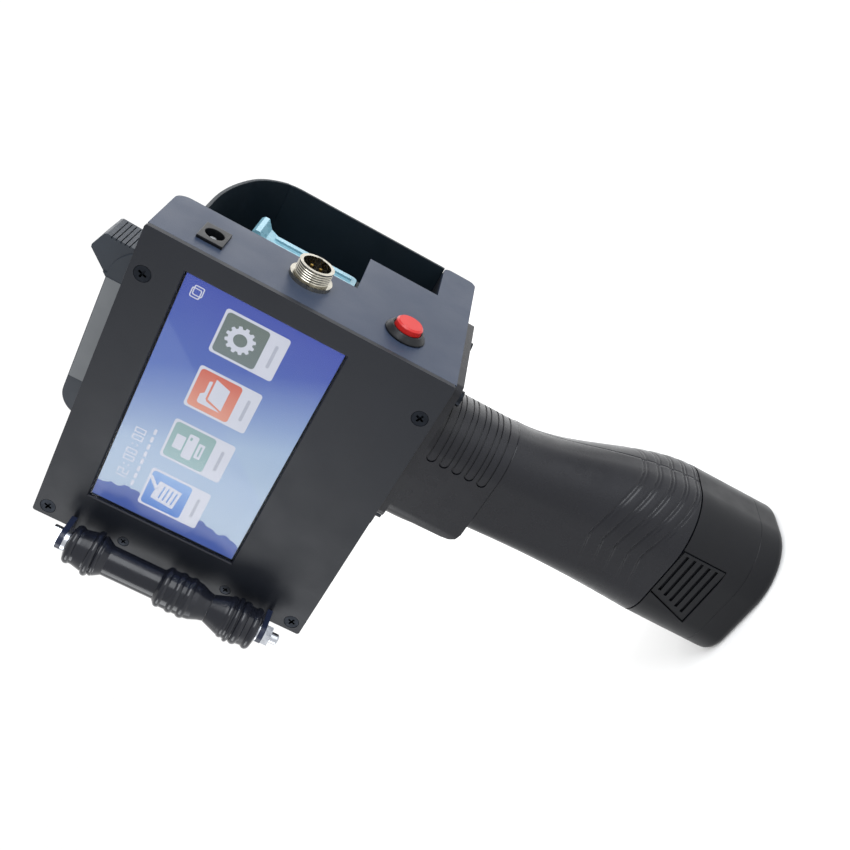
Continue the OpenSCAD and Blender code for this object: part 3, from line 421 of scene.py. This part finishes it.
def grip_section(z):
    """Front x, back x, front radius, then half width and back radius of the near and the far
    half, in millimetres."""
    low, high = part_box("grip_shell_near")
    t = min(1, max(0, (z - low.z / MM) / ((high.z - low.z) / MM)))
    s, bulge = eased(t), math.sin(math.pi * t)
    near = (mix(*NEAR_HALF, s) - SIDE_WAIST * bulge, mix(*NEAR_RADIUS, s))
    far = (mix(*FAR_HALF, s) - SIDE_WAIST * bulge, mix(*FAR_RADIUS, s))
    return mix(*FRONT, s) + FRONT_WAIST * bulge, mix(*BACK, s), mix(*FRONT_RADIUS, s), near, far


def spaced(way, count):
    """The same path with evenly spaced points."""
    runs = runs_along(way)
    points, k = [], 0
    for i in range(count):
        goal = runs[-1] * i / (count - 1)
        while k < len(way) - 2 and runs[k + 1] < goal:
            k += 1
        share = (goal - runs[k]) / max(1e-9, runs[k + 1] - runs[k])
        points.append(tuple(mix(a, b, share) for a, b in zip(way[k], way[k + 1])))
    return points


def grip_back(back, near, far, side):
    """Round back of one half as (x, y) with y positive, from its flat side to the seam."""
    far_centre = far[0] - far[1]
    if side > 0:
        end = math.degrees(math.asin(max(0, (SEAM - far_centre) / far[1])))
        way = arc(back - far[1], far_centre, far[1], 90, end, 60)
        if far_centre > SEAM:
            way.append((back, SEAM))
        return spaced(way, COLUMNS["back"])
    way = arc(back - near[1], near[0] - near[1], near[1], 90, 0, 50)
    straight = max(SEAM, -far_centre)
    way.append((back, straight))
    if far_centre <= 0:
        for i in range(1, 11):
            y = mix(straight, SEAM, i / 10)
            way.append((back - far[1] + math.sqrt(far[1] ** 2 - (y + far_centre) ** 2), y))
    return spaced(way, COLUMNS["back"])


def grip_outline(z, side):
    """Half outline as (x, y, run) from the front seam to the back seam. The run is the way along
    the surface from the grooves' points, negative towards the front."""
    front, back, r_front, near, far = grip_section(z)
    half, r_back = near if side < 0 else far
    rows, turn, along = COLUMNS["front"], COLUMNS["front_corner"], COLUMNS["flat"]
    way = [(front, SEAM + (half - r_front - SEAM) * i / rows) for i in range(rows)]
    way += arc(front + r_front, half - r_front, r_front, 180, 90, turn)[:-1]
    flat = back - r_back - front - r_front
    way += [(front + r_front + flat * i / along, half) for i in range(along)]
    way += grip_back(back, near, far, side)
    runs = runs_along(way)
    start = runs[rows + turn] + GROOVE_X - (front + r_front)
    return [(x, y * side, run - start) for (x, y), run in zip(way, runs)]


def groove_depth(z, run):
    """How far the skin is cut in: fine V grooves, each with a shallow step under it."""
    if run < 0:
        drop = -run * FRONT_SLOPE
        fade = min(1, max(FRONT_FAINT, 1 + run / FRONT_FADE))
    else:
        drop = BACK_DROP * eased(min(1, run / BACK_RUN))
        fade = 1
    pair = min(1, max(0, (run - PAIR_START) / PAIR_GROWTH)) * PAIR_SHARE
    depth = 0
    for level in GROOVES:
        off = z - (level - drop)
        depth += GROOVE_CUT * math.exp(-(off / GROOVE_WIDTH) ** 2)
        depth += PAIR_CUT * pair * math.exp(-((off + PAIR_GAP) / GROOVE_WIDTH) ** 2)
        if -STEP_HEIGHT < off <= 0:
            depth += STEP_CUT * (1 + off / STEP_HEIGHT) * (1 - 0.5 * pair)
    return depth * fade


def grip_rows(low, high):
    """Heights of the skin's rows."""
    rows, z = [], low
    while z < high - 0.3:
        rows.append(z)
        z += FINE_ROW if z < GROOVED_TO else COARSE_ROW
    return rows + [high]


def finished(bm, name, outward=True):
    """The mesh that a bmesh holds, with its faces turned outward if asked."""
    if outward:
        bmesh.ops.recalc_face_normals(bm, faces=bm.faces)
    mesh = bpy.data.meshes.new(name)
    bm.to_mesh(mesh)
    bm.free()
    return mesh


def skin_mesh(name, side):
    """Outer surface of one half, as rows of points from the front seam to the back one."""
    low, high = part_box("grip_shell_near")
    bm = bmesh.new()
    grid = []
    for z in grip_rows(low.z / MM, high.z / MM):
        outline = grip_outline(z, side)
        row = []
        for i, (x, y, run) in enumerate(outline):
            before, after = outline[max(0, i - 1)], outline[min(len(outline) - 1, i + 1)]
            tangent = Vector((after[0] - before[0], after[1] - before[1], 0)).normalized()
            inward = Vector((tangent.y, -tangent.x, 0)) * side
            cut = groove_depth(z, run) if low.z / MM + LIP_HEIGHT < z else LIP_CUT
            row.append(bm.verts.new((Vector((x, y, z)) + inward * cut) * MM))
        grid.append(row)
    for a, b in zip(grid, grid[1:]):
        for i in range(len(a) - 1):
            quad = [a[i], a[i + 1], b[i + 1], b[i]]
            bm.faces.new(quad if side < 0 else quad[::-1])
    mesh = finished(bm, name, outward=False)
    mesh.polygons.foreach_set("use_smooth", [True] * len(mesh.polygons))
    return mesh


def floor_mesh(name, side):
    """The half's floor round the battery's neck."""
    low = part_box("grip_shell_near")[0].z / MM
    outer = [(x * FLOOR_SHRINK, y * FLOOR_SHRINK + side * (1 - FLOOR_SHRINK))
             for x, y, _ in grip_outline(low, side)[::3]]
    edge = round_box(-NECK_HALF, -NECK_HALF, NECK_HALF, NECK_HALF, NECK_CORNER)
    inner = sorted([p for p in edge if p[1] * side > 0], key=lambda p: -math.atan2(p[1] * side, p[0]))
    inner = [(-NECK_HALF, side * SEAM)] + inner + [(NECK_HALF, side * SEAM)]
    bm = bmesh.new()
    ring = [bm.verts.new((x * MM, y * MM, (low + FLOOR_LIFT) * MM)) for x, y in outer + inner[::-1]]
    plate = bm.faces.new(ring)
    lifted = bmesh.ops.extrude_face_region(bm, geom=[plate])["geom"]
    for item in lifted:
        if isinstance(item, bmesh.types.BMVert):
            item.co.z += FLOOR * MM
    return finished(bm, name)


def boss_mesh(name, x, z):
    """Screw boss along y, open at both ends."""
    bm = bmesh.new()
    rings = []
    for radius, y in ((BOSS_RADIUS, BOSS_FROM), (BOSS_RADIUS, BOSS_TO),
                      (HOLE_RADIUS, BOSS_TO), (HOLE_RADIUS, BOSS_FROM)):
        loop = arc(x, z, radius, 0, 360 - 360 / BOSS_SIDES, BOSS_SIDES - 1)
        rings.append([bm.verts.new((a * MM, y * MM, b * MM)) for a, b in loop])
    for k, ring in enumerate(rings):
        following = rings[(k + 1) % len(rings)]
        for i in range(BOSS_SIDES):
            j = (i + 1) % BOSS_SIDES
            bm.faces.new([ring[i], ring[j], following[j], following[i]])
    return finished(bm, name)


def screw_places():
    """X of the grip screws, and the height of each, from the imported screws."""
    low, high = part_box("grip_screws")
    radius = (high.x - low.x) / 2 / MM
    return (low.x + high.x) / 2 / MM, (low.z / MM + radius, high.z / MM - radius)


def bored(piece, x, heights):
    """Cuts the screw holes through the far skin."""
    for z in heights:
        bm = bmesh.new()
        bmesh.ops.create_cone(bm, cap_ends=True, segments=BOSS_SIDES, radius1=HOLE_RADIUS * MM,
                              radius2=HOLE_RADIUS * MM, depth=HOLE_LENGTH * MM)
        bm.transform(Matrix.Translation(Vector((x, HOLE_MIDDLE, z)) * MM)
                     @ Matrix.Rotation(math.pi / 2, 4, "X"))
        cutter = bpy.data.objects.new("cutter", finished(bm, "cutter", outward=False))
        bpy.context.scene.collection.objects.link(cutter)
        piece.modifiers.new("hole", "BOOLEAN").object = cutter
        bpy.context.view_layer.update()
        solid = bpy.data.meshes.new_from_object(piece.evaluated_get(
            bpy.context.evaluated_depsgraph_get()))
        piece.modifiers.clear()
        piece.data = solid
        bpy.data.objects.remove(cutter)


def make_grip(finishes):
    x, heights = screw_places()
    satin = finishes["grip_satin"]
    for node, side in (("grip_shell_near", -1), ("grip_shell_far", 1)):
        skin = add_piece(f"{node}_skin", skin_mesh(f"{node}_skin", side), "chassis", satin)
        wall = skin.modifiers.new("wall", "SOLIDIFY")
        wall.thickness = SKIN * MM
        wall.offset = -1
        if side > 0:
            bored(skin, x, heights)
            for k, z in enumerate(heights):
                boss = f"grip_boss_{k}"
                add_piece(boss, boss_mesh(boss, x, z), "chassis", satin)
        add_piece(f"{node}_floor", floor_mesh(f"{node}_floor", side), "chassis", satin)
        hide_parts(node)


# ---------------------------------------------------------------- the screen's picture

GLASS_MARGIN = 0.5
LAYER = 0.045
TILE_V = (23.2, 37.8)
CARD_V = (16.6, 38.6)
CARD_WIDTH = 16.9
TILE_INSET = 0.9


def screen_origin():
    """Front lower corner of the lit area, on the glass's back face."""
    low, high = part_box("touch_glass")
    return Vector((low.x + GLASS_MARGIN * MM, high.y, low.z + GLASS_MARGIN * MM))


def screen_size():
    low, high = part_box("touch_glass")
    return (high.x - low.x) / MM - 2 * GLASS_MARGIN, (high.z - low.z) / MM - 2 * GLASS_MARGIN


def screen_plate(name, loops, layer, material):
    """A thin printed layer of the picture. Layer 0 lies deepest, and loops are in millimetres
    from the lit area's front lower corner."""
    mesh = plate_mesh(name, [[(x * MM, z * MM) for x, z in loop] for loop in loops], LAYER * MM * 0.8)
    depth = (0.19 - layer * LAYER) * MM
    mesh.transform(Matrix.Translation(screen_origin() + Vector((0, depth, 0))))
    return add_piece(name, mesh, "chassis", material)


def unlit(name):
    """A part of the screen's picture, before its light has a colour."""
    return Material(name, {"Base Color": (0.01, 0.01, 0.012, 1), "Emission Strength": 1,
                           "Roughness": 0.4})


def shine(glow, source):
    glow.feed(glow.shader.inputs["Emission Color"], source)
    return glow.data


def glowing(name, dark, light):
    """A lit colour of the screen, with the faint unevenness of its backlight."""
    glow = unlit(name)
    return shine(glow, glow.blend(glow.noise(0.006, 2), dark, light))


def tile_glow(name, front, rear, u0):
    """A card's coloured square: its tone runs from its front edge to its rear edge."""
    glow = unlit(name)
    x0 = screen_origin().x + u0 * MM
    along = glow.between(glow.part_of_place(0), 0, 1, x0, x0 + CARD_WIDTH * MM)
    cloudy = glow.math("ADD", along, glow.between(glow.noise(0.004, 2), -0.06, 0.06, 0.3, 0.7))
    return shine(glow, glow.blend(cloudy, front, rear))


def wallpaper_and_glare_glow():
    """Deep blue wallpaper that turns pale past a slanting line, with a faint facet; the pale part is
    painted glare, the reflection on the glass over the screen's front. Distances are in millimetres
    along the screen (u) and up it (v)."""
    slant, full_glare_to, deep_from, hue_turn = 0.444, 52, 84, 60
    facet_slope, facet_from, facet_to, facet_share = 0.92, -29, -27, 0.16
    glow = unlit("screen_wallpaper_and_glare")
    origin = screen_origin()
    width, height = screen_size()
    u = glow.between(glow.part_of_place(0), 0, width, origin.x, origin.x + width * MM)
    v = glow.between(glow.part_of_place(2), 0, height, origin.z, origin.z + height * MM)
    lean = glow.math("ADD", u, glow.math("MULTIPLY", v, slant))
    deep = glow.blend(glow.between(u, 0, 1, hue_turn, width), "#4568bd", "#3149b2")
    # The pale colour is painted glare: the white reflection on the glass over the screen's front part,
    # drawn into the wallpaper.
    painted_glare = glow.blend(glow.between(u, 0, 1, 10, hue_turn), "#bacfe2", "#9fbadf")
    body = glow.blend(glow.between(lean, 0, 1, full_glare_to, deep_from), painted_glare, deep)
    facet = glow.math("SUBTRACT", glow.math("MULTIPLY", v, facet_slope), u)
    lit = glow.between(facet, 0, facet_share, facet_from, facet_to)
    return shine(glow, glow.blend(lit, body, "#8ea6e0"))


def hills_loop(height):
    """Dark ridge along the screen's front edge, with a softly broken crest."""
    crest = []
    steps = 60
    for i in range(steps + 1):
        v = height * i / steps
        rise = 8.6 + 0.9 * math.sin(v * 0.47 + 0.6) + 0.45 * math.sin(v * 1.31) + 0.2 * math.sin(v * 3.1)
        ends = min(1, (v + 1.2) / 7, (height - v + 1.8) / 6)
        crest.append((rise * (0.55 + 0.45 * ends), v))
    return [(0.05, height - 0.05), (0.05, 0.05)] + crest


def gear_loops(cx, cy, outer, root, hole, teeth):
    loop = []
    for k in range(teeth):
        start = 360 * k / teeth
        loop += arc(cx, cy, root, start, start + 10, 2)
        loop += arc(cx, cy, outer, start + 14, start + 26, 2)
    return [loop, arc(cx, cy, hole, 0, 352, 44)]


def turned_loop(loop, cx, cy, degrees):
    a = math.radians(degrees)
    return [(cx + (x - cx) * math.cos(a) - (y - cy) * math.sin(a),
             cy + (x - cx) * math.sin(a) + (y - cy) * math.cos(a)) for x, y in loop]


def note_icon(cx, cy):
    page = round_box(cx - 4.4, cy - 4.6, cx + 4.0, cy + 4.0, 0.5, 3)
    rules = [round_box(cx - 3.2, cy - 3.6 + 1.6 * k, cx + 2.8, cy - 3.1 + 1.6 * k, 0.2, 2)
             for k in range(4)]
    pencil = round_box(cx + 0.5, cy + 4.6, cx + 6.0, cy + 5.9, 0.3, 2)
    return [turned_loop(loop, cx, cy, -6) for loop in [page] + rules] + \
        [turned_loop(pencil, cx + 2.8, cy + 4.6, 38)]


def printer_icon(cx, cy):
    return [round_box(cx - 3.0, cy + 1.9, cx + 3.0, cy + 5.2, 0.3, 3),
            round_box(cx - 5.2, cy - 2.2, cx + 5.2, cy + 1.3, 0.7, 4),
            round_box(cx + 2.6, cy - 0.2, cx + 4.0, cy + 0.6, 0.3, 3),
            round_box(cx - 3.2, cy - 5.0, cx + 3.2, cy - 2.8, 0.3, 3),
            round_box(cx - 2.2, cy - 4.3, cx + 2.2, cy - 3.7, 0.2, 3)]


def folder_icon(cx, cy):
    back = [(cx - 5.2, cy - 3.9), (cx - 5.2, cy + 3.6), (cx - 4.6, cy + 4.2), (cx - 1.6, cy + 4.2),
            (cx - 0.6, cy + 3.0), (cx + 4.0, cy + 3.0), (cx + 4.4, cy + 2.6), (cx + 4.4, cy + 1.9),
            (cx - 2.6, cy + 1.9), (cx - 3.4, cy + 1.2), (cx - 4.6, cy - 2.6)]
    front = [(cx - 4.4, cy - 4.2), (cx - 2.4, cy + 1.2), (cx + 6.0, cy + 1.2), (cx + 4.2, cy - 4.2)]
    return [back, front]


def digit_loops(digit, x, y, width, height, stroke):
    """A digit drawn from straight bars, as on any clock."""
    half = height / 2
    bars = {"a": (x, y + height - stroke, x + width, y + height),
            "b": (x + width - stroke, y + half, x + width, y + height),
            "c": (x + width - stroke, y, x + width, y + half),
            "d": (x, y, x + width, y + stroke),
            "e": (x, y, x + stroke, y + half),
            "f": (x, y + half, x + stroke, y + height),
            "g": (x, y + half - stroke / 2, x + width, y + half + stroke / 2)}
    lit = {"0": "abcdef", "1": "bc", "2": "abged"}[digit]
    return [round_box(*bars[k], stroke * 0.3, 2) for k in lit]


def clock_pieces(white):
    """Clock line that reads noon, and a plain dashed line where the date stands."""
    x, y, width, height, stroke, pitch = 10.6, 45.3, 2.2, 3.9, 0.42, 3.1
    for place, mark in enumerate("12:00:00"):
        left = x + pitch * place
        if mark == ":":
            loops = [arc(left + width / 2, y + height * k, 0.32, 0, 330, 11) for k in (0.25, 0.7)]
            screen_plate(f"screen_clock_colon_{place}", loops, 1, white)
        else:
            for bar, loop in enumerate(digit_loops(mark, left, y, width, height, stroke)):
                screen_plate(f"screen_clock_bar_{place}_{bar}", [loop], 1 + bar % 2, white)
    dashes = [round_box(10.6 + 3.4 * k, 42.2, 13.0 + 3.4 * k, 43.2, 0.4, 3) for k in range(8)]
    screen_plate("screen_date_dashes", dashes, 1, white)


def status_icon(white):
    for k, (x, y) in enumerate([(88.1, 47.4), (89.1, 46.8)]):
        outer = round_box(x, y, x + 3.6, y + 3.4, 0.6, 4)
        inner = round_box(x + 0.35, y + 0.35, x + 3.25, y + 3.05, 0.4, 4)
        screen_plate(f"screen_status_{k}", [outer, inner], 1 + k, white)


def make_screen(finishes):
    width, height = screen_size()
    # The wallpaper carries painted glare towards the screen's front.
    screen_plate("screen_wallpaper_and_glare", [round_box(0, 0, width, height, 0.1, 2)], 0, wallpaper_and_glare_glow())
    screen_plate("screen_hills", [hills_loop(height)], 1,
                 glowing("screen_hills", "#3e56a4", "#4a66b4"))
    white = glowing("screen_white", "#d3d8e8", "#dde1ee")
    faint = glowing("screen_caption", "#b4b9ca", "#bcc1d0")
    middle_v = sum(TILE_V) / 2 + 0.3
    cards = {
        "note": (5.2, "#2f74d0", "#8fb6ea", note_icon),
        "printer": (28.0, "#9dbfc4", "#8fb2b2", printer_icon),
        "folder": (51.0, "#e8a08a", "#d4604a", folder_icon),
        "gear": (73.8, "#6d7c7e", "#66756f", None)}
    for name, (u, front, rear, icon) in cards.items():
        right = u + CARD_WIDTH
        centre = u + CARD_WIDTH / 2
        screen_plate(f"screen_card_{name}", [round_box(u, CARD_V[0], right, CARD_V[1], 1.1)], 2, white)
        tile = round_box(u + TILE_INSET, TILE_V[0], right - TILE_INSET, TILE_V[1], 1.3)
        screen_plate(f"screen_tile_{name}", [tile], 3, tile_glow(f"screen_{name}", front, rear, u))
        if icon:
            loops = icon(centre, middle_v)
        else:
            loops = gear_loops(centre, middle_v, 5.0, 4.1, 2.3, 12)
        screen_plate(f"screen_icon_{name}", loops, 4, white)
        caption = round_box(centre - 4.5, 19.2, centre + 4.5, 20.3, 0.5, 3)
        screen_plate(f"screen_caption_{name}", [caption], 3, faint)
    clock_pieces(white)
    status_icon(white)


make_camera()
make_studio()
make_floor()
finishes = make_materials()
dress_nodes(finishes)
soften_nodes()
make_screen(finishes)
make_grip(finishes)
